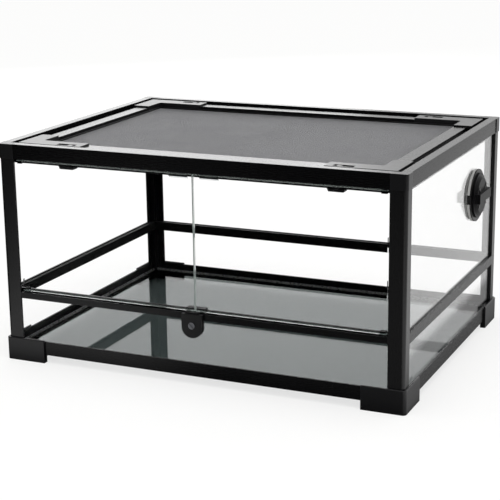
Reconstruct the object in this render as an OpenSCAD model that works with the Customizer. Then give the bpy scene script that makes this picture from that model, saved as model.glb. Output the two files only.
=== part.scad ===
/* [Overall] */
// Width over the feet
overall_w = 610; // [520:5:900]
// Depth over the feet
overall_d = 457; // [380:1:620]
// Height from the floor to the rim
overall_h = 320; // [260:5:620]

/* [Feet] */
// Length of a foot along the front or the rear
foot_leg_x = 62.5; // [40:0.5:90]
// Length of a foot along a side
foot_leg_y = 60.8; // [40:0.5:90]
// Height of a foot
foot_h = 34; // [33:0.5:50]
// How far a foot stands proud of the frame
foot_skin = 3; // [2:0.5:4.5]
// Wall of a foot below the rails
foot_wall = 8; // [5:0.5:12]
// Radius of a foot's upright edge
foot_round = 5; // [4.5:0.5:8]
// Bevel along the top edge of a foot
foot_bevel = 1; // [0.4:0.2:1.6]
// Thickness of the shelf in a foot that carries the rails
foot_shelf = 3; // [2:0.5:6]

/* [Bottom rails] */
// Height of the bottom rails above the floor
rail_z = 12; // [8:0.5:20]
// Height of a bottom rail
rail_h = 20; // [14:0.5:21]
// Wall of the rails and posts
wall = 3; // [2:0.5:4]
// Depth of the ledge that carries the floor glass
ledge_w = 14; // [12.5:0.5:24]
// Thickness of that ledge
ledge_t = 3.5; // [2:0.5:5]
// How far the front and rear bottom rails stop short of the corner
rail_short = 4; // [3:0.5:8]

/* [Glass] */
// Thickness of the wall and door glass
glass_t = 4; // [3:0.5:5]
// Thickness of the floor glass
floor_t = 4.5; // [3:0.5:6]
// Clearance between glass and the channel that holds it
glass_fit = 0.1; // [0.05:0.05:0.2]

/* [Posts] */
// Width of a post on the front and the rear
post_x = 23.5; // [20:0.5:32]
// Width of a post on the sides
post_y = 19; // [17:0.5:28]
// Radius of a post's upright edge
post_round = 5; // [4:0.5:8]
// Distance from the frame's faces to the inner side of a post's core
post_core = 12; // [11:0.5:13]
// Wall left outside the spigot on top of a post
spigot_wall = 4; // [3.5:0.25:4.5]
// Side of the spigot on top of a post
spigot_w = 7; // [5:0.5:7.5]
// Height of that spigot
spigot_h = 8; // [4:0.5:12]
// Clearance round spigots and tongues
push_fit = 0.15; // [0.05:0.05:0.3]

/* [Sill and mid rails] */
// Height of the underside of the mid rails' web
web_z = 97.5; // [70:0.5:130]
// Thickness of the web
web_t = 3; // [2:0.5:4]
// How far the flanges of a mid rail reach below its web
flange_down = 5.5; // [3:0.5:9]
// How far the flanges of a mid rail reach above its web
flange_up = 5.5; // [3:0.5:9]
// Depth of a mid rail
mid_d = 12; // [10:0.5:16]
// How far the face of the sill reaches below its web
sill_face_down = 2; // [1:0.5:5]
// How far the face of the sill reaches above its web
sill_face_up = 3; // [2:0.5:4]
// Distance from the front face to the lip behind the doors
lip_v = 10; // [9.5:0.5:12]
// Thickness of that lip
lip_t = 4; // [2:0.5:6]
// Height of that lip above the web
lip_h = 6.5; // [4:0.5:9]
// Depth of the sill
sill_d = 18; // [16:0.5:24]

/* [Top rails] */
// Height of the rim of the top rails
rim_h = 21; // [18:0.5:28]
// Width of the rim
rim_w = 12.5; // [12.5:0.5:16]
// Wall of the hollow rim
rim_wall = 2.5; // [1.5:0.25:3]
// Thickness of the rim's underside
rim_floor = 7; // [6:0.5:9]
// Depth of the slot in the rim that takes the top edge of the glass
glass_slot = 4.6; // [3:0.2:5.4]
// Height of the lid's ledge below the rim
ledge_down = 12; // [11:0.5:14]
// Height of the ledge's box
box_h = 16; // [13:0.5:20]
// Distance from the frame's faces to the inner side of the box
box_v = 26; // [24.5:0.5:32]

/* [Top corners] */
// Length of a top corner along the front or the rear
cap_leg_x = 24; // [20:0.5:34]
// Length of a top corner along a side
cap_leg_y = 19; // [18:0.5:30]
// How far a top corner stands proud of the rails
cap_proud = 1; // [0.5:0.25:2]
// Radius of a top corner's upright edge
cap_round = 4; // [3:0.5:6]
// Length of the tongues that hold the top rails
cap_tongue = 15; // [8:1:25]

/* [Doors] */
// Gap between the two doors
door_gap = 1.5; // [1:0.25:4]
// Distance from the front face to the door glass
door_v = 3.5; // [3.5:0.25:4]
// Gap between the sill's web and the door glass
door_low = 5; // [4.8:0.2:8]
// Gap between the door glass and the rim above it
door_top = 2; // [1.8:0.1:6]
// Distance from a post to the hinge axis
hinge_in = 6; // [6:0.25:10]
// How far the door glass reaches past the hinge axis
hinge_edge = 3; // [1:0.25:3]
// Radius of the hinge pins
pin_r = 1.5; // [1:0.1:2]
// Radial clearance round the hinge pins and the lock barrel
run_fit = 0.05; // [0.02:0.01:0.1]
// Wall of the hinge clips beside the glass
clip_wall = 1.1; // [0.8:0.1:1.3]
// Thickness of the hinge clips below and above the glass
clip_end = 1.4; // [1:0.1:1.5]
// Length of a hinge clip along the door
clip_l = 6; // [5:1:30]
// Height of a hinge clip
clip_h = 6; // [5:1:30]
// Radius of the bush round a lower hinge pin
bush_r = 3; // [2.4:0.1:3.5]
// Height of that bush
bush_h = 2.8; // [1:0.2:3]
// Depth of the bore for the upper hinge pin
pin_bore = 5; // [3:0.5:5.5]
// Free length left at the ends of the hinge pins
pin_end = 0.5; // [0.3:0.1:1]

/* [Door magnets] */
// Distance from the middle of the front to a strike strip
strike_in = 9; // [5:1:40]
// Length of a strike strip
strike_l = 28; // [15:1:60]
// Height of a strike strip
strike_h = 5.5; // [4:0.5:12]
// Thickness of a strike strip
strike_t = 0.8; // [0.5:0.1:1]
// Air gap between strike and magnet
strike_gap = 0.5; // [0.3:0.1:0.8]
// How far the magnets hang below the box
magnet_down = 2.2; // [1:0.2:4]
// Height of the magnets
magnet_h = 7; // [5:0.5:9]

/* [Latch] */
// Place of the latch to the right of the middle
latch_x = -1.5; // [-30:0.5:30]
// Width of the latch plate
latch_w = 31; // [28:0.5:40]
// Height of the latch plate
latch_h = 34; // [32:0.5:44]
// How far the latch plate stands in front of the frame
latch_out = 5; // [4.5:0.25:8]
// Thickness of the plate's front wall
latch_wall = 2; // [1.5:0.25:2]
// Radius of the lock barrel
barrel_r = 5; // [4:0.25:6]
// How far the barrel stands proud of the plate
barrel_proud = 1; // [0.5:0.25:2]
// Height of the barrel's axis below the top of the plate
barrel_down = 16.2; // [14:0.2:18]
// Width of the key slot in the barrel
key_w = 1.4; // [1:0.1:2]
// Depth of that slot
key_deep = 0.9; // [0.4:0.1:1.5]
// Radius of the crank pin behind the barrel
crank_pin_r = 1.2; // [0.8:0.1:1.5]
// Travel of the catch for a quarter turn of the barrel
catch_rise = 5; // [3:0.25:5.5]
// Width of the catch
catch_w = 20; // [16:0.5:22]
// Thickness of the catch
catch_t = 2.2; // [1.5:0.1:2.2]
// Height of the catch below its slot
catch_below = 3; // [2:0.5:4]
// Thickness of the catch's lip
catch_lip = 1.4; // [1:0.1:1.4]
// Clearance round the sliding pieces
slide_fit = 0.3; // [0.2:0.05:0.4]
// Width of the block behind the doors
block_w = 28; // [22:1:60]
// Height of that block above the web
block_h = 8; // [7:0.5:16]
// Gap between that block and the door glass
block_gap = 0.9; // [0.5:0.1:1.4]

/* [Port] */
// Distance of the port behind the middle of the right side
port_y = 104; // [-120:1:120]
// Height of the port's centre
port_z = 224; // [165:1:238]
// Radius of the port's outer ring
port_r = 38.5; // [34:0.5:48]
// How far the ring stands in front of the glass
port_ring_t = 5.1; // [4:0.1:8]
// Radius of the hole in the glass
port_hole_r = 31; // [29:0.25:32]
// Wall of the sleeve through the hole
sleeve_wall = 2.8; // [2:0.1:4]
// How far the sleeve reaches behind the glass
sleeve_in = 6; // [5:0.5:10]
// Thickness of the nut behind the glass
nut_t = 4; // [3:0.5:5]
// Radius of the nut
nut_r = 36; // [34:0.5:40]
// Radius of the turning cap
cap_r = 33; // [30:0.5:34]
// Thickness of the cap's rim
cap_t = 2.7; // [2:0.1:4]
// Radius of the raised middle of the cap
crown_r = 30; // [24:0.5:31]
// Height of that raised middle
crown_h = 4; // [2:0.5:6]
// Width of the finger grip across the cap
grip_w = 14; // [8:0.5:18]
// Height of the finger grip above the raised middle
grip_h = 5; // [3:0.5:9]
// How far the finger grip stops short of the edge of the raised middle
grip_short = 1; // [0.5:0.5:3]
// Width of the two notches in the ring's edge
notch_w = 14; // [6:0.5:20]
// Depth of those notches
notch_deep = 2.5; // [1:0.25:3]

/* [Lid] */
// Distance from the frame's faces to the lid
lid_v = 20; // [20:0.5:24]
// Width of the flange outside a lid bar that rests on the ledge
bar_in = 6.6; // [4:0.2:8]
// Thickness of that flange
flange_t = 2; // [1.2:0.2:3]
// Width of a lid bar
bar_w = 20; // [15:0.5:22]
// Height of a lid bar
bar_h = 8.4; // [7.4:0.2:9.6]
// Wall of the hollow lid bars
bar_wall = 2; // [1.2:0.2:2.6]
// Gap between the lid and the ledge it rests on
lid_gap = 0.3; // [0.2:0.1:0.5]
// Width of the lip that carries the mesh
mesh_lip = 3; // [2:0.5:5]
// Thickness of that lip
mesh_lip_t = 1.2; // [0.8:0.1:1.5]
// Length of a lid corner along the front or the rear
lid_leg_x = 100; // [98:1:140]
// Length of a lid corner along a side
lid_leg_y = 66; // [45:1:90]
// How far the lid corners stand above the bars
corner_up = 2.4; // [0.2:0.1:3.2]
// Radius of the inner fillet of a lid corner
corner_fillet = 4; // [3:1:36]
// Length of the tongues that hold the lid bars
lid_tongue = 12; // [6:1:30]

/* [Mesh] */
// Thickness of the mesh
mesh_t = 0.7; // [0.5:0.1:1]
// Number of openings across the width of the mesh
mesh_nx = 20; // [8:1:20]
// Number of openings across the depth of the mesh
mesh_ny = 14; // [6:1:14]
// Width of the strands of the mesh
mesh_strand = 1.6; // [1:0.2:4]
// Width of the cord that holds the mesh
spline_w = 2.5; // [1.5:0.25:2.5]
// Height of that cord
spline_h = 2; // [1:0.2:2]

/* [Lid latches] */
// Distance from the frame's side to an open latch
hook_u = 101; // [88:0.5:104]
// Travel of a latch
hook_travel = 12; // [8:0.5:16]
// Clearance round the latches in the lid and in the ledge
hook_fit = 0.4; // [0.3:0.05:0.6]
// Distance from the lid's edge to the thumb pad
pad_in = 3.6; // [3:0.2:5]
// Width of the thumb pad
pad_w = 16; // [14:0.5:21]
// Depth of the thumb pad
pad_d = 8.4; // [4:0.2:11]
// Height of the thumb pad
pad_h = 3.1; // [2:0.1:3.5]
// Depth of the thumb pad's top below the lid corner's
pad_down = 3; // [1:0.2:4]
// Width of the knob on the thumb pad
knob_w = 7; // [4:0.5:10]
// Depth of the knob's top below the lid corner's
knob_down = 0.3; // [0.1:0.1:0.8]
// Gap under the thumb pad
pad_gap = 0.2; // [0.1:0.05:0.3]
// Width of the leg through the ledge
leg_w = 14; // [8:0.5:16]
// Thickness of that leg
leg_t = 3; // [2:0.25:3]
// Width of the hook
toe_w = 25; // [18:0.5:26]
// Width of the hook at its underside
toe_low_w = 21; // [12:0.5:22]
// Reach of the hook in front of the leg
toe_reach = 10; // [4:0.2:10]
// Gap between the hook and the ledge above it
toe_gap = 0.7; // [0.4:0.1:1]
// Thickness of the hook
toe_t = 4.5; // [3:0.25:7]

/* [Hidden] */
$fn = 96;
// How far cuts and joined pieces run past a face
over = 1;

frame_w = overall_w - 2 * foot_skin;
frame_d = overall_d - 2 * foot_skin;
glass_v = wall + glass_fit;
glass_back = glass_v + glass_t + glass_fit;
glass_end = post_core + glass_fit;
rail_top = rail_z + rail_h;
floor_top = rail_z + ledge_t + floor_t;
web_top = web_z + web_t;
sill_top = web_top + sill_face_up;
rim_z = overall_h - rim_h;
ledge_z = overall_h - ledge_down;
box_z = ledge_z - box_h;
upper_glass_top = rim_z + glass_slot - glass_fit;

hinge_x = frame_w / 2 - post_x - hinge_in;
hinge_v = door_v + glass_t / 2;
clip_r = glass_t / 2 + clip_wall;
door_z0 = web_top + door_low;
door_z1 = rim_z - door_top;

plate_top = sill_top - slide_fit;
plate_z = plate_top - latch_h;
barrel_z = plate_top - barrel_down;
catch_v = -slide_fit - catch_t;
barrel_back = catch_v - slide_fit;
plate_inner = -latch_out + latch_wall;
crank_r = catch_rise / sqrt(2);
catch_z1 = sill_top + slide_fit;
catch_z0 = barrel_z - catch_rise / 2 - 2 * crank_pin_r - catch_below;

ring_v = glass_v - port_ring_t;
cap_v = ring_v - slide_fit;
crown_v = cap_v - cap_t;
grip_v = crown_v - crown_h - grip_h;
sleeve_r = port_hole_r - push_fit;

port_reach = -grip_v;
latch_reach = latch_out + barrel_proud;
mid_x = -(port_reach - foot_skin) / 2;
mid_y = (latch_reach - foot_skin) / 2;

lid_z = ledge_z + lid_gap;
bar_v = lid_v + bar_in;
lid_in = bar_v + bar_w;
bar_top = lid_z + bar_h;
corner_top = bar_top + corner_up;
mesh_z = lid_z + mesh_lip_t;
spline_z = mesh_z + mesh_t;
gusset_z = spline_z + spline_h + push_fit;
pad_z = corner_top - pad_down - pad_h;
pad_v = lid_v + pad_in;
leg_v = pad_v + hook_fit;
toe_top = box_z - toe_gap;
toe_v = leg_v - toe_reach;

black = "#1c1c1e";
inner_black = "#121214";
clear = [0.72, 0.84, 0.80, 0.35];
steel = "#9a9da0";

module centred() translate([mid_x, mid_y, 0]) children();

module mirror_if(axis, on) {
    if (on) mirror(axis) children();
    else children();
}

// Front face: X along the face, Y inwards from it.
module at_front() centred() translate([0, -frame_d / 2, 0]) children();
module at_rear() centred() mirror([0, 1, 0]) translate([0, -frame_d / 2, 0]) children();
module at_left() centred() translate([-frame_w / 2, 0, 0]) rotate([0, 0, -90]) children();
module at_right()
    centred() mirror([1, 0, 0]) translate([-frame_w / 2, 0, 0]) rotate([0, 0, -90]) children();

// Corner of the frame: X and Y inwards from its two faces.
module at_corner(right, rear)
    centred() mirror_if([1, 0, 0], right) mirror_if([0, 1, 0], rear)
        translate([-frame_w / 2, -frame_d / 2, 0]) children();

// Section drawn as depth and height, carried along a face and centred on it.
module along(length) rotate([90, 0, 90]) translate([0, 0, -length / 2]) linear_extrude(length) children();

module zone(v0, v1, z0, z1) translate([v0, z0]) square([v1 - v0, z1 - z0]);

// Section carried round a rounded corner; its points are depth from the outer face and height.
module elbow(lx, ly, r, points) {
    translate([r, r, 0]) rotate([0, 0, 180])
        rotate_extrude(angle = 90) polygon([for (p = points) [r - p[0], p[1]]]);
    translate([r, 0, 0]) rotate([90, 0, 90]) linear_extrude(lx - r) polygon(points);
    translate([0, ly, 0]) rotate([90, 0, 0]) linear_extrude(ly - r) polygon(points);
}

// Plan of an angle with its outer faces at a, inner faces at b, and two leg ends.
module angle_plan(a, b, lx, ly) polygon([[a, a], [lx, a], [lx, b], [b, b], [b, ly], [a, ly]]);

module rounded_plan(lx, ly, t, r) {
    difference() {
        union() {
            translate([r, r]) circle(r);
            translate([r, 0]) square([lx - r, ly]);
            translate([0, r]) square([lx, ly - r]);
        }
        translate([t, t]) square([lx, ly]);
    }
}

// ---- feet

module foot(right, rear) {
    color(black) at_corner(right, rear) translate([-foot_skin, -foot_skin, 0]) {
        elbow(foot_leg_x, foot_leg_y, foot_round, [[0, 0], [foot_skin, 0], [foot_skin, foot_h],
            [foot_bevel, foot_h], [0, foot_h - foot_bevel]]);
        linear_extrude(rail_z) angle_plan(foot_skin, foot_wall, foot_leg_x, foot_leg_y);
        translate([0, 0, rail_z - foot_shelf]) linear_extrude(foot_shelf)
            angle_plan(foot_skin, foot_skin + ledge_w, foot_leg_x, foot_leg_y);
    }
}

// ---- bottom rails and floor

module bottom_rail(length) {
    color(black) along(length) {
        zone(0, wall, rail_z, rail_top);
        zone(0, ledge_w, rail_z, rail_z + ledge_t);
    }
}

module floor_glass() {
    color(clear) centred() translate([-frame_w / 2 + glass_v, -frame_d / 2 + glass_v, floor_top - floor_t])
        cube([frame_w - 2 * glass_v, frame_d - 2 * glass_v, floor_t]);
}

// ---- posts

module post(right, rear) {
    core = post_core - wall;
    color(black) at_corner(right, rear) {
        elbow(post_x, post_y, post_round, [[0, rail_top], [wall, rail_top], [wall, rim_z], [0, rim_z]]);
        translate([wall, wall, floor_top]) cube([core, core, rim_z - floor_top]);
        translate([spigot_wall, spigot_wall, rim_z]) cube([spigot_w, spigot_w, spigot_h]);
    }
}

// ---- sill and mid rails

module front_sill() {
    color(black) at_front() difference() {
        union() {
            along(frame_w - 2 * post_x) zone(0, wall, web_z - sill_face_down, sill_top);
            along(frame_w - 2 * post_core) {
                zone(wall, sill_d, web_z, web_top);
                zone(glass_back, lip_v, web_z - flange_down, web_top);
                zone(lip_v, lip_v + lip_t, web_z, web_top + lip_h);
            }
            for (side = [-1, 1])
                translate([side * hinge_x, hinge_v, web_z]) cylinder(r = bush_r, h = web_t + bush_h);
        }
        for (side = [-1, 1])
            translate([side * hinge_x, hinge_v, web_z - over])
                cylinder(r = pin_r + run_fit, h = web_t + bush_h + 2 * over);
    }
}

module mid_rail(outer_l, inner_l) {
    color(black) {
        along(outer_l) zone(0, wall, web_z - flange_down, web_top + flange_up);
        along(inner_l) {
            zone(wall, mid_d, web_z, web_top);
            zone(glass_back, mid_d, web_z - flange_down, web_top + flange_up);
        }
    }
}

// ---- top rails

module rim_section(slotted) {
    difference() {
        zone(0, rim_w, rim_z, overall_h);
        zone(rim_wall, rim_w - rim_wall, rim_z + rim_floor, overall_h - rim_wall);
        if (slotted) zone(wall, glass_back, rim_z - over, rim_z + glass_slot);
    }
}

module box_section() {
    zone(rim_w, box_v, box_z, ledge_z);
    zone(lip_v, rim_w + over, box_z, rim_z);
}

// Keyhole in the ledge: the hook drops through its wide part and slides under the ledge beside it.
module keyhole(side) {
    clear_w = toe_w / 2 + hook_fit;
    open_x = frame_w / 2 - hook_u;
    narrow_x = open_x + hook_travel + leg_w / 2 + hook_fit;
    cut_h = box_h + 2 * over;
    mirror_if([1, 0, 0], side < 0) translate([open_x - clear_w, -hook_fit, box_z - over]) {
        translate([0, toe_v, 0]) cube([2 * clear_w, box_v, cut_h]);
        translate([0, leg_v, 0]) cube([narrow_x - open_x + clear_w, box_v, cut_h]);
    }
}

module long_top_rail(slotted) {
    difference() {
        union() {
            along(frame_w - 2 * (cap_leg_x - cap_proud)) rim_section(slotted);
            along(frame_w - 2 * rim_w) box_section();
        }
        for (side = [-1, 1]) keyhole(side);
    }
}

module side_top_rail() {
    color(black) {
        along(frame_d - 2 * (cap_leg_y - cap_proud)) rim_section(true);
        along(frame_d - 2 * box_v) box_section();
    }
}

module top_rail_front() {
    color(black) at_front() difference() {
        long_top_rail(false);
        for (side = [-1, 1])
            translate([side * hinge_x, hinge_v, rim_z - over])
                cylinder(r = pin_r + run_fit, h = pin_bore + over);
    }
}

// ---- top corners

module top_corner(right, rear) {
    leg_end_x = cap_leg_x - cap_proud;
    leg_end_y = cap_leg_y - cap_proud;
    tongue_v = rim_wall + push_fit;
    tongue_w = rim_w - 2 * tongue_v;
    tongue_z = rim_z + rim_floor + push_fit;
    tongue_h = rim_h - rim_floor - rim_wall - 2 * push_fit;
    slot_w = glass_back - wall;
    socket_w = spigot_w + 2 * push_fit;
    color(black) at_corner(right, rear) {
        difference() {
            translate([-cap_proud, -cap_proud, rim_z]) linear_extrude(rim_h)
                rounded_plan(cap_leg_x, cap_leg_y, rim_w + cap_proud, cap_round);
            translate([spigot_wall - push_fit, spigot_wall - push_fit, rim_z - over])
                cube([socket_w, socket_w, spigot_h + push_fit + over]);
            translate([wall, post_core, rim_z - over]) cube([slot_w, cap_leg_y, glass_slot + over]);
            if (rear) translate([post_core, wall, rim_z - over]) cube([cap_leg_x, slot_w, glass_slot + over]);
        }
        translate([leg_end_x - over, tongue_v, tongue_z]) cube([cap_tongue + over, tongue_w, tongue_h]);
        translate([tongue_v, leg_end_y - over, tongue_z]) cube([tongue_w, cap_tongue + over, tongue_h]);
    }
}

// ---- fixed glass

module lower_glass(length)
    color(clear) along(length) zone(glass_v, glass_v + glass_t, floor_top, web_z - glass_fit);

module upper_glass(length)
    color(clear) along(length) zone(glass_v, glass_v + glass_t, web_top + glass_fit, upper_glass_top);

module upper_glass_right() {
    color(clear) at_right() difference() {
        upper_glass(frame_d - 2 * glass_end);
        on_port(wall) cylinder(r = port_hole_r, h = glass_t + over);
    }
}

// ---- doors: drawn for the left door

module door_glass() {
    color(clear) translate([-hinge_x - hinge_edge, door_v, door_z0])
        cube([hinge_x + hinge_edge - door_gap / 2, glass_t, door_z1 - door_z0]);
}

module hinge_clip() {
    difference() {
        union() {
            cylinder(r = clip_r, h = clip_h);
            translate([0, -clip_r, 0]) cube([clip_l, 2 * clip_r, clip_h]);
        }
        translate([-2 * clip_r, -glass_t / 2, clip_end]) cube([2 * clip_r + clip_l + over, glass_t, clip_h]);
    }
}

module door_hinges() {
    low_z = door_z0 - clip_end;
    high_z = door_z1 + clip_end;
    color(inner_black) translate([-hinge_x, hinge_v, 0]) {
        translate([0, 0, low_z]) hinge_clip();
        translate([0, 0, web_z + pin_end]) cylinder(r = pin_r, h = low_z - web_z);
        translate([0, 0, high_z]) mirror([0, 0, 1]) hinge_clip();
        translate([0, 0, high_z - clip_end / 2])
            cylinder(r = pin_r, h = rim_z + pin_bore - pin_end - high_z + clip_end / 2);
    }
}

module door_strike() {
    color(steel) translate([-strike_in - strike_l, door_v + glass_t, door_z1 - strike_h])
        cube([strike_l, strike_t, strike_h]);
}

module door_magnets() {
    magnet_v = door_v + glass_t + strike_t + strike_gap;
    color(inner_black) at_front() for (side = [-1, 1])
        translate([side * (strike_in + strike_l / 2) - strike_l / 2, magnet_v, box_z - magnet_down])
            cube([strike_l, lip_v - magnet_v, magnet_h]);
}

// ---- latch

// Plan of the latch plate: straight sides and a round lower end.
module plate_outline() {
    r = latch_w / 2;
    translate([0, plate_z + r]) circle(r);
    translate([-r, plate_z + r]) square([latch_w, latch_h - r]);
}

module upright(v0, v1) translate([0, v1, 0]) rotate([90, 0, 0]) linear_extrude(v1 - v0) children();

module at_latch() at_front() translate([latch_x, 0, 0]) children();

module latch_plate() {
    well_w = catch_w + 2 * slide_fit;
    color(inner_black) at_latch() difference() {
        upright(-latch_out, glass_v) plate_outline();
        translate([-latch_w, 0, web_z - sill_face_down]) cube([2 * latch_w, latch_w, latch_h]);
        translate([-well_w / 2, plate_inner, catch_z0 - slide_fit]) cube([well_w, latch_w, latch_h]);
        upright(-latch_out - over, plate_inner + over)
            translate([0, barrel_z]) circle(barrel_r + run_fit);
    }
}

module lock_barrel() {
    color(steel) at_latch() {
        difference() {
            upright(-latch_reach, barrel_back) translate([0, barrel_z]) circle(barrel_r);
            translate([0, -latch_reach, barrel_z]) rotate([0, 45, 0])
                cube([2 * (barrel_r + over), 2 * key_deep, key_w], center = true);
        }
        translate([crank_r * cos(45), 0, barrel_z - crank_r * sin(45)])
            upright(plate_inner, -slide_fit - push_fit) circle(crank_pin_r);
    }
}

module latch_catch() {
    slot_x0 = crank_r * cos(45) - crank_pin_r - slide_fit;
    slot_x1 = crank_r + crank_pin_r + slide_fit;
    slot_h = 2 * (crank_pin_r + slide_fit);
    color(steel) at_latch() difference() {
        along(catch_w) {
            zone(catch_v, -slide_fit, catch_z0, catch_z1 + catch_lip);
            zone(catch_v, door_v - slide_fit, catch_z1, catch_z1 + catch_lip);
        }
        translate([slot_x0, catch_v - over, barrel_z - crank_r * sin(45) - slot_h / 2])
            cube([slot_x1 - slot_x0, catch_t + 2 * over, slot_h]);
    }
}

module latch_block() {
    color(inner_black) at_latch() along(block_w) difference() {
        zone(door_v + glass_t + block_gap, sill_d, web_top, web_top + block_h);
        zone(lip_v, lip_v + lip_t, web_top, web_top + lip_h);
    }
}

// ---- port: Z runs inwards from depth v

module on_port(v) translate([-port_y, v, port_z]) rotate([-90, 0, 0]) children();

module port_ring() {
    sleeve_l = port_ring_t + glass_t + sleeve_in;
    color(inner_black) at_right() on_port(ring_v) difference() {
        union() {
            cylinder(r = port_r, h = port_ring_t);
            cylinder(r = sleeve_r, h = sleeve_l);
        }
        translate([0, 0, -over]) cylinder(r = sleeve_r - sleeve_wall, h = sleeve_l + 2 * over);
        for (side = [-1, 1])
            translate([side * port_r, 0, port_ring_t / 2])
                cube([2 * notch_deep, notch_w, port_ring_t + 2 * over], center = true);
    }
}

module port_cap() {
    stub_r = sleeve_r - sleeve_wall - run_fit;
    color(black) at_right() on_port(crown_v) {
        cylinder(r = cap_r, h = cap_t);
        cylinder(r = stub_r, h = cap_t + slide_fit + port_ring_t + glass_t);
        translate([0, 0, -crown_h]) cylinder(r1 = crown_r - crown_h, r2 = crown_r, h = crown_h);
        translate([0, 0, -(crown_h + grip_h) / 2])
            cube([2 * (crown_r - grip_short), grip_w, crown_h + grip_h], center = true);
    }
}

module port_nut() {
    color(inner_black) at_right() on_port(glass_v + glass_t) difference() {
        cylinder(r = nut_r, h = nut_t);
        translate([0, 0, -over]) cylinder(r = sleeve_r + push_fit, h = nut_t + 2 * over);
    }
}

// ---- lid

module lid_bar(length) {
    color(black) along(length) {
        difference() {
            zone(bar_v, lid_in, lid_z, bar_top);
            zone(bar_v + bar_wall, lid_in - bar_wall, lid_z + bar_wall, bar_top - bar_wall);
        }
        zone(lid_v, bar_v, lid_z, lid_z + flange_t);
        zone(lid_in, lid_in + mesh_lip, lid_z, mesh_z);
    }
}

// Concave fillet that fills the inner corner at c.
module fillet_plan(c, r) {
    difference() {
        translate([c - over, c - over]) square(r + over);
        translate([c + r, c + r]) circle(r);
    }
}

module lid_corner(right, rear) {
    end_x = lid_v + lid_leg_x;
    end_y = lid_v + lid_leg_y;
    inset = bar_wall + push_fit;
    tongue_w = bar_w - 2 * inset;
    tongue_h = bar_h - 2 * inset;
    shut_u = hook_u - hook_travel;
    plate_t = corner_top - lid_z;
    color(black) at_corner(right, rear) translate([0, 0, lid_z]) {
        difference() {
            union() {
                linear_extrude(plate_t) angle_plan(lid_v, lid_in, end_x, end_y);
                linear_extrude(mesh_lip_t) angle_plan(lid_in - over, lid_in + mesh_lip, end_x, end_y);
                translate([0, 0, gusset_z - lid_z]) linear_extrude(corner_top - gusset_z)
                    fillet_plan(lid_in, min(corner_fillet, end_y - lid_in));
            }
            translate([shut_u - pad_w / 2 - hook_fit, pad_v - hook_fit, pad_z - pad_gap - lid_z])
                cube([hook_travel + pad_w + 2 * hook_fit, pad_d + 2 * hook_fit, corner_top - pad_z + over]);
            translate([shut_u - leg_w / 2 - hook_fit, leg_v - hook_fit, -over])
                cube([hook_travel + leg_w + 2 * hook_fit, leg_t + 2 * hook_fit, plate_t + 2 * over]);
        }
        translate([end_x - over, bar_v + inset, inset]) cube([lid_tongue + over, tongue_w, tongue_h]);
        translate([bar_v + inset, end_y - over, inset]) cube([tongue_w, lid_tongue + over, tongue_h]);
    }
}

module lid_mesh() {
    mesh_w = frame_w - 2 * (lid_in + glass_fit);
    mesh_d = frame_d - 2 * (lid_in + glass_fit);
    pitch_x = (mesh_w - mesh_strand) / mesh_nx;
    pitch_y = (mesh_d - mesh_strand) / mesh_ny;
    color("#77787a") centred() translate([-mesh_w / 2, -mesh_d / 2, mesh_z])
        linear_extrude(mesh_t) difference() {
            square([mesh_w, mesh_d]);
            for (i = [0 : mesh_nx - 1], j = [0 : mesh_ny - 1])
                translate([mesh_strand + i * pitch_x, mesh_strand + j * pitch_y])
                    square([pitch_x - mesh_strand, pitch_y - mesh_strand]);
        }
}

module mesh_spline() {
    ring_w = frame_w - 2 * (lid_in + glass_fit);
    ring_d = frame_d - 2 * (lid_in + glass_fit);
    color(inner_black) centred() translate([0, 0, spline_z]) linear_extrude(spline_h) difference() {
        square([ring_w, ring_d], center = true);
        square([ring_w - 2 * spline_w, ring_d - 2 * spline_w], center = true);
    }
}

module lid_latch(right, rear) {
    color(inner_black) at_corner(right, rear) translate([hook_u, 0, 0]) {
        translate([-pad_w / 2, pad_v, pad_z]) cube([pad_w, pad_d, pad_h]);
        translate([-knob_w / 2, pad_v, pad_z]) cube([knob_w, pad_d, corner_top - knob_down - pad_z]);
        translate([-leg_w / 2, leg_v, toe_top - over]) cube([leg_w, leg_t, pad_z - toe_top + 2 * over]);
        upright(toe_v, leg_v + leg_t) polygon([[-toe_w / 2, toe_top], [toe_w / 2, toe_top],
            [toe_low_w / 2, toe_top - toe_t], [-toe_low_w / 2, toe_top - toe_t]]);
    }
}

// ---- the pieces by name

long_inner = frame_w - 2 * post_core;
side_inner = frame_d - 2 * post_core;
long_glass = frame_w - 2 * glass_end;
side_glass = frame_d - 2 * glass_end;
long_bar = frame_w - 2 * (lid_v + lid_leg_x);
side_bar = frame_d - 2 * (lid_v + lid_leg_y);

foot(false, false);  // foot_front_left
foot(true, false);  // foot_front_right
foot(false, true);  // foot_rear_left
foot(true, true);  // foot_rear_right
at_front() bottom_rail(frame_w - 2 * rail_short);  // bottom_rail_front
at_rear() bottom_rail(frame_w - 2 * rail_short);  // bottom_rail_rear
at_left() bottom_rail(frame_d - 2 * ledge_w);  // bottom_rail_left
at_right() bottom_rail(frame_d - 2 * ledge_w);  // bottom_rail_right
floor_glass();
post(false, false);  // post_front_left
post(true, false);  // post_front_right
post(false, true);  // post_rear_left
post(true, true);  // post_rear_right
front_sill();
at_rear() mid_rail(frame_w - 2 * post_x, long_inner);  // mid_rail_rear
at_left() mid_rail(frame_d - 2 * post_y, side_inner);  // mid_rail_left
at_right() mid_rail(frame_d - 2 * post_y, side_inner);  // mid_rail_right
top_rail_front();
at_rear() color(black) long_top_rail(true);  // top_rail_rear
at_left() side_top_rail();  // top_rail_left
at_right() side_top_rail();  // top_rail_right
top_corner(false, false);  // top_corner_front_left
top_corner(true, false);  // top_corner_front_right
top_corner(false, true);  // top_corner_rear_left
top_corner(true, true);  // top_corner_rear_right
at_front() lower_glass(long_glass);  // lower_glass_front
at_rear() lower_glass(long_glass);  // lower_glass_rear
at_left() lower_glass(side_glass);  // lower_glass_left
at_right() lower_glass(side_glass);  // lower_glass_right
at_rear() upper_glass(long_glass);  // upper_glass_rear
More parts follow.
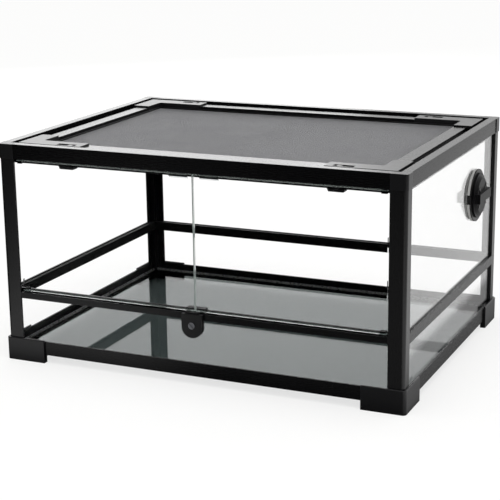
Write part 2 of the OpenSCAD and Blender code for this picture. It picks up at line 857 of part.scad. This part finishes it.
at_left() upper_glass(side_glass);  // upper_glass_left
upper_glass_right();
at_front() door_glass();  // door_glass_left
at_front() mirror([1, 0, 0]) door_glass();  // door_glass_right
at_front() door_hinges();  // door_hinges_left
at_front() mirror([1, 0, 0]) door_hinges();  // door_hinges_right
at_front() door_strike();  // door_strike_left
at_front() mirror([1, 0, 0]) door_strike();  // door_strike_right
door_magnets();
latch_plate();
lock_barrel();
latch_catch();
latch_block();
port_ring();
port_cap();
port_nut();
at_front() lid_bar(long_bar);  // lid_bar_front
at_rear() lid_bar(long_bar);  // lid_bar_rear
at_left() lid_bar(side_bar);  // lid_bar_left
at_right() lid_bar(side_bar);  // lid_bar_right
lid_corner(false, false);  // lid_corner_front_left
lid_corner(true, false);  // lid_corner_front_right
lid_corner(false, true);  // lid_corner_rear_left
lid_corner(true, true);  // lid_corner_rear_right
lid_mesh();
mesh_spline();
lid_latch(false, false);  // lid_latch_front_left
lid_latch(true, false);  // lid_latch_front_right
lid_latch(false, true);  // lid_latch_rear_left
lid_latch(true, true);  // lid_latch_rear_right
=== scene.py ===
import math

import bpy
import numpy as np
from mathutils import Matrix, Vector


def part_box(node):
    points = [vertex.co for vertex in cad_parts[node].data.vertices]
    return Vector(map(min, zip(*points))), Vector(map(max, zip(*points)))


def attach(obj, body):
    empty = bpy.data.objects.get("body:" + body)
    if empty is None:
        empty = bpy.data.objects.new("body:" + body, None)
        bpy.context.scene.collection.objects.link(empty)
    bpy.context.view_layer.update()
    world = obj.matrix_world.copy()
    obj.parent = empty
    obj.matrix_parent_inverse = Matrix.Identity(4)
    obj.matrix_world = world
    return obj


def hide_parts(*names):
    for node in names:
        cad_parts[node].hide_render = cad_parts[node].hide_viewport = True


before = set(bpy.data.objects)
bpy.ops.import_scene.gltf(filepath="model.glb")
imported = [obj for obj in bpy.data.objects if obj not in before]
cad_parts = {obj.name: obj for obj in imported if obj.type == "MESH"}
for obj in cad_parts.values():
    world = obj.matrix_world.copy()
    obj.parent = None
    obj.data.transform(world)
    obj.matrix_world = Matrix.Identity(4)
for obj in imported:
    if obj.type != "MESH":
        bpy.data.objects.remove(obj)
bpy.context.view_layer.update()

MM = 0.001
scene = bpy.context.scene
scene.view_settings.view_transform = "Standard"

# ---- Camera ----------------------------------------------------------------
# A long lens at the photograph's angle: about 24 degrees to the right of the front and 15 degrees down.
# The place is measured from the middle of the object's plan on the floor.

camera_place = Vector((827.36, -1890.58, 691.12)) * MM
camera_azimuth = math.radians(24.16)
camera_elevation = math.radians(15.00)
camera_roll = math.radians(-0.73)
camera_lens = 102.68

camera = bpy.data.objects.new("camera", bpy.data.cameras.new("camera"))
camera.data.lens = camera_lens
camera.data.clip_end = 50
camera.matrix_world = (
    Matrix.Translation(camera_place)
    @ Matrix.Rotation(camera_azimuth, 4, "Z")
    @ Matrix.Rotation(math.pi / 2 - camera_elevation, 4, "X")
    @ Matrix.Rotation(camera_roll, 4, "Z")
)
scene.collection.objects.link(camera)
scene.camera = camera

# ---- Shader and mesh helpers -----------------------------------------------


def linear(hex_colour):
    """The linear colour, with alpha 1, of an sRGB hex colour."""
    parts = [int(hex_colour[i : i + 2], 16) / 255 for i in (1, 3, 5)]
    return [c / 12.92 if c <= 0.04045 else ((c + 0.055) / 1.055) ** 2.4 for c in parts] + [1.0]


def add(tree, kind, inputs=None, **settings):
    """Adds a shader node. Inputs are values or nodes' outputs by socket, settings its own properties."""
    node = tree.nodes.new("ShaderNode" + kind)
    for name, value in settings.items():
        setattr(node, name, value)
    for name, value in (inputs or {}).items():
        if isinstance(value, bpy.types.NodeSocket):
            tree.links.new(value, node.inputs[name])
        else:
            node.inputs[name].default_value = value
    return node


def calc(tree, operation, first, second=0.0, **settings):
    """The output of a Math node."""
    return add(tree, "Math", {0: first, 1: second}, operation=operation, **settings).outputs[0]


def ramp(tree, value, low, high, start=0.0, end=1.0):
    """A smooth step from start at low to end at high."""
    inputs = {"Value": value, "From Min": low, "From Max": high, "To Min": start, "To Max": end}
    return add(tree, "MapRange", inputs, interpolation_type="SMOOTHSTEP").outputs[0]


def blend(tree, factor, first, second):
    """A mix of two colours."""
    return add(tree, "Mix", {0: factor, 6: first, 7: second}, data_type="RGBA").outputs[2]


def new_material(name):
    """An empty node material and its tree."""
    material = bpy.data.materials.new(name)
    material.use_nodes = True
    material.node_tree.nodes.clear()
    return material, material.node_tree


def dress(material, *names):
    """Gives these CAD nodes the material in all their slots."""
    for name in names:
        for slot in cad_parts[name].material_slots:
            slot.material = material


def mesh_object(name, points, faces, material):
    """A mesh object at the origin from an array of points and lists of corner numbers."""
    mesh = bpy.data.meshes.new(name)
    mesh.from_pydata(np.asarray(points, float).tolist(), [], [list(map(int, face)) for face in faces])
    mesh.materials.append(material)
    piece = bpy.data.objects.new(name, mesh)
    scene.collection.objects.link(piece)
    return piece


def prism(profile, start, end, axis):
    """A closed prism along an axis. Its profile runs anticlockwise in the next two axes."""
    profile = np.asarray(profile, float)
    count = len(profile)
    points = np.zeros((2, count, 3))
    points[0, :, axis], points[1, :, axis] = start, end
    points[..., (axis + 1) % 3] = profile[:, 0]
    points[..., (axis + 2) % 3] = profile[:, 1]
    ring = np.arange(count)
    after = (ring + 1) % count
    sides = np.stack([ring, after, after + count, ring + count], axis=1).tolist()
    return points.reshape(-1, 3), sides + [ring[::-1].tolist(), (ring + count).tolist()]


def joined(parts):
    """One mesh's points and faces from several."""
    bases = np.cumsum([0] + [len(points) for points, part in parts])
    faces = []
    for (points, part), base in zip(parts, bases):
        faces += [[corner + base for corner in face] for face in part]
    return np.concatenate([points for points, part in parts]), faces


# ---- Floor and studio ------------------------------------------------------
# A white paper floor that runs out of sight, in a white room. What the camera sees of them, also through
# glass, is white, and the floor keeps a share of the shadow. Gloss surfaces find them dark in front, except
# for painted glow strips on the floor that paint reflections onto the frame.

FLOOR_SIZE = 12.0
FLOOR_WHITE = "#f4f4f2"
SHADOW_KEPT = 0.3


STRIP_LEAN = -0.456


def painted_reflection_glow(tree, x, y):
    """How bright gloss rays find the floor: a painted glow, seen only in reflections, in a strip in front
    of the left post and right of the tank.
    """
    across = calc(tree, "ADD", x, calc(tree, "MULTIPLY", y, STRIP_LEAN))
    fade = ramp(tree, across, -0.05, 0.15, 0.8, 0.13)
    strip = calc(tree, "MULTIPLY", ramp(tree, across, -0.34, -0.24), fade)
    ahead = calc(tree, "MULTIPLY", strip, ramp(tree, y, -0.2, -0.32))
    near = calc(tree, "MULTIPLY", ramp(tree, x, 0.29, 0.31), ramp(tree, x, 0.345, 0.365, 0.4, 1.0))
    right = calc(tree, "MULTIPLY", near, ramp(tree, x, 0.74, 0.78, 1.0, 0.55))
    return calc(tree, "MULTIPLY", calc(tree, "MAXIMUM", ahead, right), ramp(tree, y, -1.22, -1.05))


def under_tank(tree, x, y):
    """One where the floor is seen through the floor glass, and nought outside."""
    sides = calc(tree, "MULTIPLY", ramp(tree, x, -0.345, -0.325), ramp(tree, x, 0.275, 0.265))
    ends = calc(tree, "MULTIPLY", ramp(tree, y, -0.175, -0.165), ramp(tree, y, 0.3, 0.285))
    return calc(tree, "MULTIPLY", sides, ends)


def studio_floor():
    """White paper. Under the tank it shows only the light that comes through the glass."""
    material, tree = new_material("white paper floor")
    where = add(tree, "SeparateXYZ", {0: add(tree, "NewGeometry").outputs["Position"]})
    x, y = where.outputs["X"], where.outputs["Y"]
    rays = add(tree, "LightPath").outputs
    mirror = calc(tree, "MINIMUM", rays["Glossy Depth"], 1.0)
    through = calc(tree, "MAXIMUM", rays["Is Camera Ray"], rays["Is Transmission Ray"])
    seen = calc(tree, "SUBTRACT", through, mirror, use_clamp=True)
    open_floor = calc(tree, "SUBTRACT", 1.0, under_tank(tree, x, y))
    white = calc(tree, "MULTIPLY", calc(tree, "MULTIPLY", seen, open_floor), 1 - SHADOW_KEPT)
    # Painted reflection: gloss rays find the floor glowing only in the painted strips.
    glow = add(tree, "Mix", {0: seen, 2: painted_reflection_glow(tree, x, y), 3: 1.0}, data_type="FLOAT")
    emission = add(tree, "Emission", {"Color": linear("#ffffff"), "Strength": glow.outputs[0]})
    paper = add(tree, "BsdfDiffuse", {"Color": linear(FLOOR_WHITE)})
    share = calc(tree, "MAXIMUM", white, mirror)
    mix = add(tree, "MixShader", {0: share, 1: paper.outputs[0], 2: emission.outputs[0]})
    add(tree, "OutputMaterial", {"Surface": mix.outputs[0]})
    half = FLOOR_SIZE / 2
    corners = [(-half, -half, 0), (half, -half, 0), (half, half, 0), (-half, half, 0)]
    mesh_object("floor", corners, [(0, 1, 2, 3)], material)


def studio_room():
    """White where seen straight or through glass. Gloss rays find it dark in front."""
    world = bpy.data.worlds.new("white studio")
    scene.world = world
    world.use_nodes = True
    tree = world.node_tree
    tree.nodes.clear()
    way = add(tree, "SeparateXYZ", {0: add(tree, "TexCoord").outputs["Generated"]})
    gloss = ramp(tree, way.outputs["Y"], -0.4, 0.2, 0.02, 1.0)
    mirror = calc(tree, "MINIMUM", add(tree, "LightPath").outputs["Glossy Depth"], 1.0)
    strength = add(tree, "Mix", {0: mirror, 2: 1.0, 3: gloss}, data_type="FLOAT")
    background = add(tree, "Background", {"Color": linear("#ffffff"), "Strength": strength.outputs[0]})
    add(tree, "OutputWorld", {"Surface": background.outputs[0]})


def soft_lamp(name, place, aim, width, height, power):
    """An area lamp at place that faces aim; the camera and the glass don't show it."""
    lamp = bpy.data.lights.new(name, "AREA")
    lamp.shape = "RECTANGLE"
    lamp.size, lamp.size_y, lamp.energy = width, height, power
    piece = bpy.data.objects.new(name, lamp)
    piece.location = place
    piece.rotation_euler = (Vector(aim) - Vector(place)).to_track_quat("-Z", "Y").to_euler()
    piece.visible_camera = False
    piece.visible_transmission = False
    scene.collection.objects.link(piece)


studio_floor()
studio_room()
soft_lamp("back lamp", (-1.9, 2.4, 0.95), (0, 0, 0.3), 2.4, 0.9, 14)
soft_lamp("rim lamp", (-0.3, 3.0, 1.25), (0.3, 0, 0.3), 1.6, 0.34, 2.2)
soft_lamp("top lamp", (0.3, -0.4, 2.6), (0, 0, 0.2), 1.6, 1.6, 18)

# ---- Plastics --------------------------------------------------------------


def fine_noise(tree, size, detail=2.0, stretch=(1, 1, 1)):
    """Noise whose grains are about size across, drawn out along an axis where stretch is small."""
    where = add(tree, "TexCoord").outputs["Object"]
    if stretch != (1, 1, 1):
        where = add(tree, "Mapping", {"Vector": where, "Scale": stretch}).outputs[0]
    return add(tree, "TexNoise", {"Vector": where, "Scale": 1 / size, "Detail": detail}).outputs["Fac"]


EDGE = 0.6 * MM
CLOUD = 60 * MM


def plastic(name, colour, edge_colour, rough, grain, relief, stretch=(1, 1, 1), shine=0.5, band=None):
    """A plastic with grain in its gloss and relief, and edges rounded and blended in cloudy patches towards
    the edge colour.
    band is a colour and a function that gives the mask where it lies."""
    material, tree = new_material(name)
    noise = fine_noise(tree, grain, 3.0, stretch)
    cloud = fine_noise(tree, CLOUD, 4.0)
    gloss = add(
        tree,
        "MapRange",
        {"Value": noise, "From Min": 0.3, "From Max": 0.7, "To Min": rough * 0.85, "To Max": rough * 1.15},
    )
    round_edge = add(tree, "Bevel", {"Radius": EDGE}, samples=6).outputs[0]
    sharp = add(tree, "NewGeometry").outputs["Normal"]
    turn = add(tree, "VectorMath", {0: round_edge, 1: sharp}, operation="DOT_PRODUCT").outputs["Value"]
    # Where the rounded normal turns from the true one, the colour is blended towards the edge colour in
    # cloudy patches.
    edge_mask = add(tree, "MapRange", {"Value": turn, "From Min": 0.99, "From Max": 0.8}).outputs[0]
    tint = blend(tree, calc(tree, "MULTIPLY", edge_mask, cloud), linear(colour), linear(edge_colour))
    if band is not None:
        tint = blend(tree, band[1](tree), tint, linear(band[0]))
    bump = add(tree, "Bump", {"Strength": 1.0, "Distance": relief, "Height": noise, "Normal": round_edge})
    shader = add(
        tree,
        "BsdfPrincipled",
        {
            "Base Color": tint,
            "Roughness": gloss.outputs[0],
            "IOR": 1.5,
            "Specular IOR Level": shine,
            "Normal": bump.outputs[0],
        },
    )
    add(tree, "OutputMaterial", {"Surface": shader.outputs[0]})
    return material


CORNERS = ("front_left", "front_right", "rear_left", "rear_right")
SIDES = ("front", "rear", "left", "right")
GRAIN = 0.4 * MM
DRAWN = {"X": (0.03, 1, 1), "Y": (1, 0.03, 1), "Z": (1, 1, 0.03)}


def extruded(axis, colour, edge_colour, rough, shine):
    """Extruded PVC with its grain drawn out along an axis."""
    return plastic("extruded PVC along " + axis, colour, edge_colour, rough, GRAIN, 0.003 * MM, DRAWN[axis], shine)


def shaded_pvc(axis):
    """A duller copy of the extruded PVC with darker edges, for the rear and left pieces: painted shade. Its
    grain is drawn out along an axis.
    """
    name = "PVC dulled as painted shade along " + axis
    return plastic(name, "#050506", "#1c1c1e", 0.5, GRAIN, 0.005 * MM, DRAWN[axis], 0.12)


moulded = plastic("moulded ABS", "#0d0d0f", "#303033", 0.34, 0.5 * MM, 0.004 * MM)
rail_x = extruded("X", "#050506", "#2c2c2f", 0.26, 0.3)
rail_y = extruded("Y", "#050506", "#2c2c2f", 0.26, 0.2)
rail_z = extruded("Z", "#0a0a0b", "#303033", 0.30, 0.5)
# The duller copies stand in for shade on the pieces at the back: painted shade.
shaded_pvc_x, shaded_pvc_y, shaded_pvc_z = shaded_pvc("X"), shaded_pvc("Y"), shaded_pvc("Z")
fitting = plastic("moulded nylon", "#0a0a0b", "#28282a", 0.4, 0.6 * MM, 0.005 * MM)

# ---- Glass and clear plastic -----------------------------------------------

ARRIS = 1.3 * MM
MEETING = 6 * MM
GLASS_INDEX = 1.52
COATED_INDEX = 1.05
FROST = {"edge": 0.6, "top": 0.2, "foot": 0.12}


def float_glass(name, colour, index=GLASS_INDEX, ground=None):
    """Float glass. Colour is what each face lets through. A coat against reflections lowers the index.
    ground is a door's node and +1 or -1 for its meeting side. That edge and a thin arris scatter light."""
    material, tree = new_material(name)
    shader = add(
        tree,
        "BsdfPrincipled",
        {
            "Base Color": linear(colour),
            "Roughness": 0.0,
            "IOR": index,
            "Transmission Weight": 1.0,
        },
    ).outputs[0]
    if ground is not None:
        low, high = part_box(ground[0])
        spot = add(tree, "TexCoord")
        flat = add(tree, "SeparateXYZ", {0: spot.outputs["Normal"]}).outputs["Y"]
        where = add(tree, "SeparateXYZ", {0: spot.outputs["Object"]}).outputs
        height = where["Z"]
        meeting = (high if ground[1] > 0 else low).x
        gap = calc(tree, "ABSOLUTE", calc(tree, "SUBTRACT", where["X"], meeting))
        side = calc(tree, "LESS_THAN", calc(tree, "ABSOLUTE", flat), 0.5)
        edge = calc(tree, "MULTIPLY", side, calc(tree, "LESS_THAN", gap, MEETING))
        top = calc(tree, "GREATER_THAN", height, high.z - ARRIS)
        foot = calc(tree, "LESS_THAN", height, low.z + ARRIS)
        top_share = calc(tree, "MULTIPLY", top, FROST["top"])
        arris = calc(tree, "MAXIMUM", top_share, calc(tree, "MULTIPLY", foot, FROST["foot"]))
        frosted = add(tree, "BsdfDiffuse", {"Color": linear("#c4ceca")})
        share = calc(tree, "MAXIMUM", calc(tree, "MULTIPLY", edge, FROST["edge"]), arris)
        shader = add(tree, "MixShader", {0: share, 1: shader, 2: frosted.outputs[0]}).outputs[0]
    through = add(tree, "BsdfTransparent", {"Color": linear(colour)})
    rays = add(tree, "LightPath")
    mix = add(tree, "MixShader", {0: rays.outputs["Is Shadow Ray"], 1: shader, 2: through.outputs[0]})
    add(tree, "OutputMaterial", {"Surface": mix.outputs[0]})
    return material


coated_glass = float_glass("coated low-iron glass", "#ffffff", COATED_INDEX)
plain_glass = float_glass("low-iron glass", "#ffffff")
smoked_glass = float_glass("smoked glass", "#a0a8a8")
clear_plastic = float_glass("clear polycarbonate", "#eef1f1", 1.3)

# ---- Feet ------------------------------------------------------------------
# Four moulded ABS angles; the rails lie on their shelves and the posts stand on the rails.

dress(moulded, *["foot_" + corner for corner in CORNERS])

# ---- Bottom rails ----------------------------------------------------------
# Extruded PVC angles round the floor, mitred under the feet; their ledges carry the floor glass.

dress(rail_x, "bottom_rail_front")
dress(rail_y, "bottom_rail_right")
# The rear and left rails get the duller copy of the PVC: painted shade.
dress(shaded_pvc_x, "bottom_rail_rear")
dress(shaded_pvc_y, "bottom_rail_left")

# ---- Floor glass -----------------------------------------------------------
# Smoked glass that drops into the bottom rails, sealed to the walls with a bead of clear silicone.

dress(smoked_glass, "floor_glass")

BEAD = 3 * MM


def clear_silicone():
    """Cured clear silicone: soft gloss, slightly milky."""
    material, tree = new_material("clear silicone")
    milky = ramp(tree, fine_noise(tree, 4 * MM), 0.3, 0.7, 0.25, 0.35)
    shader = add(
        tree,
        "BsdfPrincipled",
        {"Base Color": linear("#eef1f1"), "Roughness": milky, "IOR": 1.3, "Transmission Weight": 0.97},
    )
    add(tree, "OutputMaterial", {"Surface": shader.outputs[0]})
    return material


def seal_bead(side):
    """A concave fillet along the foot of a pane: r(1 - sin t) deep and r(1 - cos t) high for t in 0..90."""
    low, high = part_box("lower_glass_" + side)
    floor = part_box("floor_glass")[1].z
    t = np.linspace(0, np.pi / 2, 7)
    curve = np.stack([BEAD * (1 - np.sin(t)), BEAD * (1 - np.cos(t))], axis=1)
    profile = np.concatenate([[(0, 0)], curve])
    axis = 0 if side in ("front", "rear") else 1
    inward = 1 if side in ("front", "left") else -1
    face = (high if inward > 0 else low)[1 - axis]
    across, up = face + inward * profile[:, 0], floor + profile[:, 1]
    loop = np.stack([across, up] if axis == 0 else [up, across], axis=1)
    if (inward > 0) != (axis == 0):
        loop = loop[::-1]
    return prism(loop, low[axis], high[axis], axis)


beads = mesh_object("silicone_beads", *joined([seal_bead(side) for side in SIDES]), clear_silicone())
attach(beads, "frame")

# ---- Posts -----------------------------------------------------------------
# Extruded PVC angles with a solid core; a spigot on top holds the top corner.

dress(rail_z, "post_front_left", "post_front_right", "post_rear_right")
# The rear left post gets the duller copy of the PVC: painted shade.
dress(shaded_pvc_z, "post_rear_left")

# ---- Sill and mid rails ----------------------------------------------------
# H-sections between the lower and the upper glass; the front one is the sill that carries the doors.

dress(rail_x, "front_sill")
dress(rail_y, "mid_rail_right")
# The rear and left mid rails get the duller copy of the PVC: painted shade.
dress(shaded_pvc_x, "mid_rail_rear")
dress(shaded_pvc_y, "mid_rail_left")

# ---- Top rails and corners -------------------------------------------------
# Hollow PVC rims with the lid's ledge inside, joined by moulded ABS corners on tongues.

dress(rail_x, "top_rail_front", "top_rail_rear")
dress(rail_y, "top_rail_left", "top_rail_right")
dress(moulded, *["top_corner_" + corner for corner in CORNERS])

# ---- Fixed glass -----------------------------------------------------------
# Panes of 4 mm glass in the channels of the rails and posts; the right upper one has the port's hole.

dress(coated_glass, "lower_glass_front", "lower_glass_rear", "lower_glass_left")
dress(coated_glass, "upper_glass_rear", "upper_glass_left")
dress(plain_glass, "lower_glass_right", "upper_glass_right")

# ---- Doors -----------------------------------------------------------------
# Frameless glass in clear clips that turn on pins, ground where the doors meet.
# Each has a nickel strike that meets a magnet under the top rail.

for side, meeting in (("left", 1), ("right", -1)):
    pane = "door_glass_" + side
    ground_glass = "coated glass with a ground edge, " + side
    dress(float_glass(ground_glass, "#ffffff", COATED_INDEX, (pane, meeting)), pane)
dress(clear_plastic, "door_hinges_left", "door_hinges_right", "door_magnets")


def steel(name, colour, rough):
    """Plated steel with a fine drawn grain."""
    material, tree = new_material(name)
    gloss = ramp(tree, fine_noise(tree, 0.3 * MM, 2.0, (0.1, 1, 1)), 0.2, 0.8, rough * 0.7, rough * 1.3)
    shader = add(
        tree, "BsdfPrincipled", {"Base Color": linear(colour), "Metallic": 1.0, "Roughness": gloss}
    )
    add(tree, "OutputMaterial", {"Surface": shader.outputs[0]})
    return material


dress(steel("nickel-plated steel", "#b8b9bb", 0.3), "door_strike_left", "door_strike_right")

# ---- Latch -----------------------------------------------------------------
# A nylon shield screwed to the sill; the chromed lock barrel lifts the catch in front of the doors.

dress(fitting, "latch_plate", "latch_catch", "latch_block")
dress(steel("chromed steel", "#9a9ba0", 0.18), "lock_barrel")

# ---- Port ------------------------------------------------------------------
# A nylon ring, its rim coloured light grey as a painted reflection, and a grey nut clamp the glass.
# The cap turns in the ring and has raised spokes.

RING_FACE = 1.6 * MM
BAND_R = 37 * MM
SPOKE_WIDTH, SPOKE_HEIGHT = 2.4 * MM, 1.0 * MM
SPOKE_FROM, SPOKE_TO = 8 * MM, 25 * MM
SPOKE_TURNS = (35, 145, 215, 325)
GRIP_HEIGHT = 5 * MM


def painted_reflection_mask(tree):
    """One on the rim of the ring behind its face, outside its notches, where the painted reflection lies.
    """
    low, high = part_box("port_ring")
    where = add(tree, "SeparateXYZ", {0: add(tree, "TexCoord").outputs["Object"]}).outputs
    dy = calc(tree, "SUBTRACT", where["Y"], (low.y + high.y) / 2)
    dz = calc(tree, "SUBTRACT", where["Z"], (low.z + high.z) / 2)
    square = calc(tree, "ADD", calc(tree, "POWER", dy, 2.0), calc(tree, "POWER", dz, 2.0))
    far = calc(tree, "SQRT", square)
    outside = calc(tree, "GREATER_THAN", far, BAND_R)
    behind = calc(tree, "LESS_THAN", where["X"], high.x - RING_FACE)
    return calc(tree, "MULTIPLY", outside, behind)


def port_spokes(material):
    """Four bars on the cap's raised middle, each from an inner to an outer radius."""
    low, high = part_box("port_cap")
    face = high.x - GRIP_HEIGHT
    half = SPOKE_WIDTH / 2
    bar = np.array([(SPOKE_FROM, -half), (SPOKE_TO, -half), (SPOKE_TO, half), (SPOKE_FROM, half)])
    middle = np.array([(low.y + high.y) / 2, (low.z + high.z) / 2])
    parts = []
    for degrees in SPOKE_TURNS:
        turn = math.radians(degrees)
        matrix = np.array([[math.cos(turn), math.sin(turn)], [-math.sin(turn), math.cos(turn)]])
        parts.append(prism(bar @ matrix + middle, face - SPOKE_HEIGHT, face + SPOKE_HEIGHT, 0))
    return mesh_object("port_spokes", *joined(parts), material)


# Painted reflection: the ring's rim is coloured light grey for the white room it would reflect.
band = ("#b6b6b4", painted_reflection_mask)
ring_plastic = plastic("nylon with a painted reflection on its rim", "#0a0a0b", "#28282a", 0.4, 0.6 * MM, 0.005 * MM, band=band)
cap_plastic = plastic("satin ABS", "#08080a", "#28282b", 0.42, 0.5 * MM, 0.004 * MM, shine=0.15)
grey_plastic = plastic("grey moulded nylon", "#a8a8a6", "#b8b8b6", 0.45, 0.6 * MM, 0.004 * MM)
dress(ring_plastic, "port_ring")
dress(grey_plastic, "port_nut")
dress(cap_plastic, "port_cap")
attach(port_spokes(moulded), "port_cap")

# ---- Lid bars and corners --------------------------------------------------
# Hollow PVC bars and moulded ABS corners, plugged together by tongues; the flanges rest on the ledge.

dress(rail_x, "lid_bar_front", "lid_bar_rear")
dress(rail_y, "lid_bar_left", "lid_bar_right")
dress(moulded, *["lid_corner_" + corner for corner in CORNERS])

# ---- Lid mesh --------------------------------------------------------------
# Coated steel wire, two crossed layers, pressed into the lid's groove by a rubber cord.

WIRE_PITCH = 1.5 * MM
WIRE_D = 0.36 * MM


def wire_layer(count, start, end, across, z, axis):
    """count square wires side by side along across, each from start to end along the axis."""
    centres = across[0] + (np.arange(count) + 0.5) * (across[1] - across[0]) / count
    ring = np.array([(-1, -1), (1, -1), (1, 1), (-1, 1)]) * WIRE_D / 2
    block = np.zeros((count, 2, 4, 3))
    block[:, 0, :, axis], block[:, 1, :, axis] = start, end
    block[..., 1 - axis] = centres[:, None, None] + ring[None, None, :, 0]
    block[..., 2] = z + ring[None, None, :, 1]
    walls = [(i, (i + 1) % 4, (i + 1) % 4 + 4, i + 4) for i in range(4)]
    sides = np.array(walls + [(3, 2, 1, 0), (4, 5, 6, 7)])
    if axis == 1:
        sides = sides[:, ::-1]
    return block.reshape(-1, 3), (np.arange(count)[:, None, None] * 8 + sides[None]).reshape(-1, 4)


def wire_net(material):
    """Wires across the lid in its mesh's place, and a layer along it on top."""
    low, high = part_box("lid_mesh")
    middle = (low.z + high.z) / 2
    rows = round((high.y - low.y) / WIRE_PITCH)
    columns = round((high.x - low.x) / WIRE_PITCH)
    lower = wire_layer(rows, low.x, high.x, (low.y, high.y), middle - WIRE_D / 2, 0)
    upper = wire_layer(columns, low.y, high.y, (low.x, high.x), middle + WIRE_D / 2, 1)
    return mesh_object("wire_mesh", *joined([lower, upper]), material)


net = wire_net(plastic("coated steel wire", "#828285", "#949496", 0.4, 0.5 * MM, 0.002 * MM))
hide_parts("lid_mesh")
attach(net, "lid")
dress(fitting, "mesh_spline")

# ---- Lid latches -----------------------------------------------------------
# Moulded ABS slides in the corners' slots; a hook on each grips under the ledge.

dress(moulded, *["lid_latch_" + corner for corner in CORNERS])
